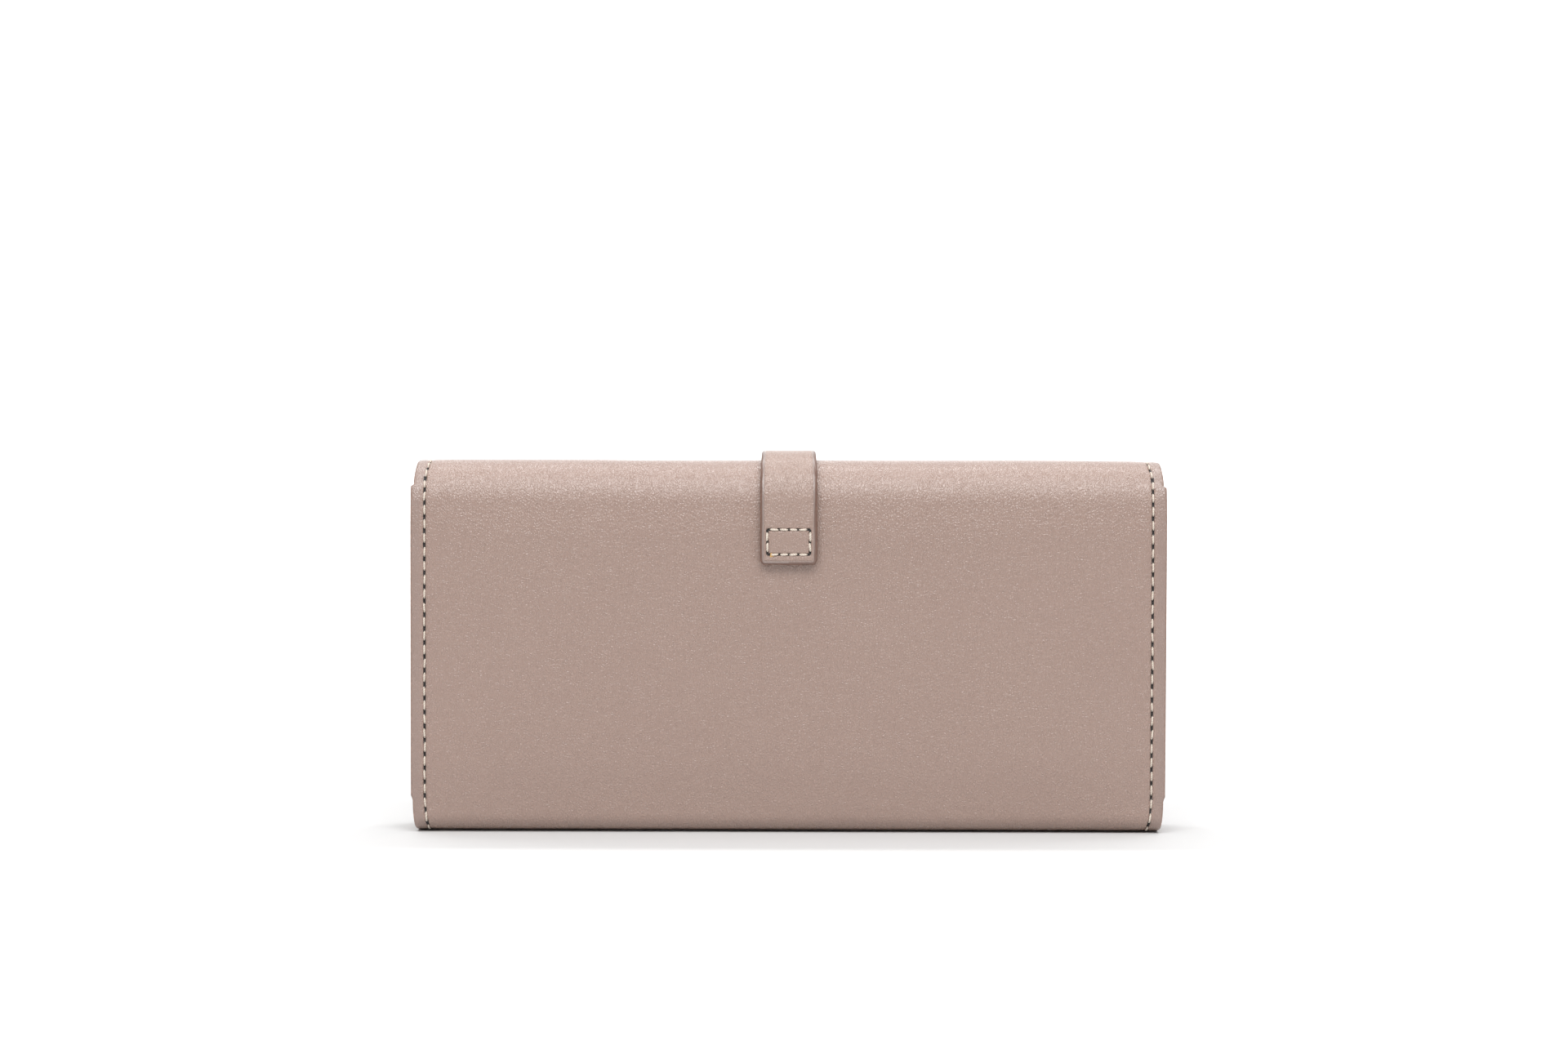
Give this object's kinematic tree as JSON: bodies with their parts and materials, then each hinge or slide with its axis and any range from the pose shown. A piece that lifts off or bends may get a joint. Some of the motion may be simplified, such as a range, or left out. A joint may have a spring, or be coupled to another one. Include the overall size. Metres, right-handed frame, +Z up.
{
  "type": "long wallet",
  "caption": "Long flap-over leather wallet standing on its bottom fold, with a buttoned strap over the top, card slots and a zipped coin pocket.",
  "frame": {"origin": "centre of the wallet's outline on the surface that it stands on", "axes": "+X along the length, +Y towards the flap that closes the front, -Y out of the back where the strap is sewn, +Z up"},
  "size_m": [0.192, 0.0304, 0.0969],
  "materials": {
    "outer_leather": "fine pebbled grain, satin, dusty taupe pink",
    "strap_leather": "fine pebbled grain, satin, creased edges",
    "strap_backing": "smooth, painted brown edges",
    "inner_leather": "fine grain, satin",
    "gusset_leather": "thin, supple, fine grain",
    "stiffener_board": "pale fibre board",
    "lining_cloth": "twill weave, matt",
    "thread": "cream waxed thread",
    "zip_tape": "woven tape, matt",
    "zip_metal": "pale gold, polished",
    "snap_metal": "pale gold, polished"
  },
  "bodies": {
    "root": {"back_leather": "outer_leather", "bottom_fold_leather": "outer_leather", "back_board": "stiffener_board", "back_lining": "lining_cloth", "bottom_lining": "lining_cloth", "back_stitches": "thread", "card_panel": "inner_leather", "card_slot_left_1": "inner_leather", "card_slot_left_2": "inner_leather", "card_slot_left_3": "inner_leather", "card_slot_left_4": "inner_leather", "card_slot_right_1": "inner_leather", "card_slot_right_2": "inner_leather", "card_slot_right_3": "inner_leather", "card_slot_right_4": "inner_leather", "gusset_left": "gusset_leather", "gusset_right": "gusset_leather", "strap_anchor": "strap_leather", "strap_anchor_backing": "strap_backing", "strap_anchor_stitches": "thread"},
    "top_fold": {"top_fold_leather": "outer_leather", "top_fold_lining": "lining_cloth", "top_fold_stitches": "thread", "strap_crown": "strap_leather", "strap_crown_backing": "strap_backing"},
    "flap": {"flap_leather": "outer_leather", "flap_board": "stiffener_board", "flap_lining": "lining_cloth", "flap_stitches": "thread", "strap_shoulder": "strap_leather", "strap_shoulder_backing": "strap_backing"},
    "strap": {"strap_tail": "strap_leather", "strap_tail_backing": "strap_backing", "snap_cap": "snap_metal", "snap_socket": "snap_metal"},
    "front_panel": {"front_leather": "outer_leather", "front_board": "stiffener_board", "front_lining": "lining_cloth", "front_stitches": "thread", "snap_stud": "snap_metal", "snap_stud_rivet": "snap_metal"},
    "coin_pocket": {"coin_wall_rear": "inner_leather", "coin_wall_front": "inner_leather", "coin_side_left": "lining_cloth", "coin_side_right": "lining_cloth", "coin_bottom": "lining_cloth", "zip_tape_rear": "zip_tape", "zip_tape_front": "zip_tape", "zip_teeth_rear": "zip_metal", "zip_teeth_front": "zip_metal", "zip_stop_left": "zip_metal", "zip_stop_right": "zip_metal"},
    "zip_slider": {"zip_slider": "zip_metal"},
    "zip_pull": {"zip_pull": "zip_metal"}
  },
  "joints": [
    {"name": "rear_crease", "type": "hinge", "parent": "root", "child": "top_fold", "pos_m": [0, -0.01126, 0.09316], "axis": [1, 0, 0], "range_deg": [0, 90]},
    {"name": "front_crease", "type": "hinge", "parent": "top_fold", "child": "flap", "pos_m": [0, 0.01006, 0.09316], "axis": [1, 0, 0], "range_deg": [0, 90]},
    {"name": "strap_bend", "type": "hinge", "parent": "flap", "child": "strap", "pos_m": [0, 0.0138, 0.08], "axis": [1, 0, 0], "range_deg": [0, 150]},
    {"name": "front_panel_spread", "type": "hinge", "parent": "root", "child": "front_panel", "pos_m": [0, 0.009, 0.007], "axis": [-1, 0, 0], "range_deg": [0, 25.2], "deforming": ["gusset_left", "gusset_right"]},
    {"name": "coin_pocket_lean", "type": "hinge", "parent": "root", "child": "coin_pocket", "pos_m": [0, 0.009, 0.007], "axis": [-1, 0, 0], "range_deg": [0, 12.6]},
    {"name": "zip_run", "type": "slide", "parent": "coin_pocket", "child": "zip_slider", "axis": [-1, 0, 0], "range_m": [0, 0.1324]},
    {"name": "pull_swing", "type": "hinge", "parent": "zip_slider", "child": "zip_pull", "pos_m": [0.0664, -0.0008, 0.06935], "axis": [0, 1, 0], "range_deg": [0, 180]}
  ],
  "couplings": [
    {"joint": "front_crease", "follows": "rear_crease", "ratio": 1},
    {"joint": "front_panel_spread", "follows": "rear_crease", "ratio": 0.28},
    {"joint": "coin_pocket_lean", "follows": "rear_crease", "ratio": 0.14}
  ]
}
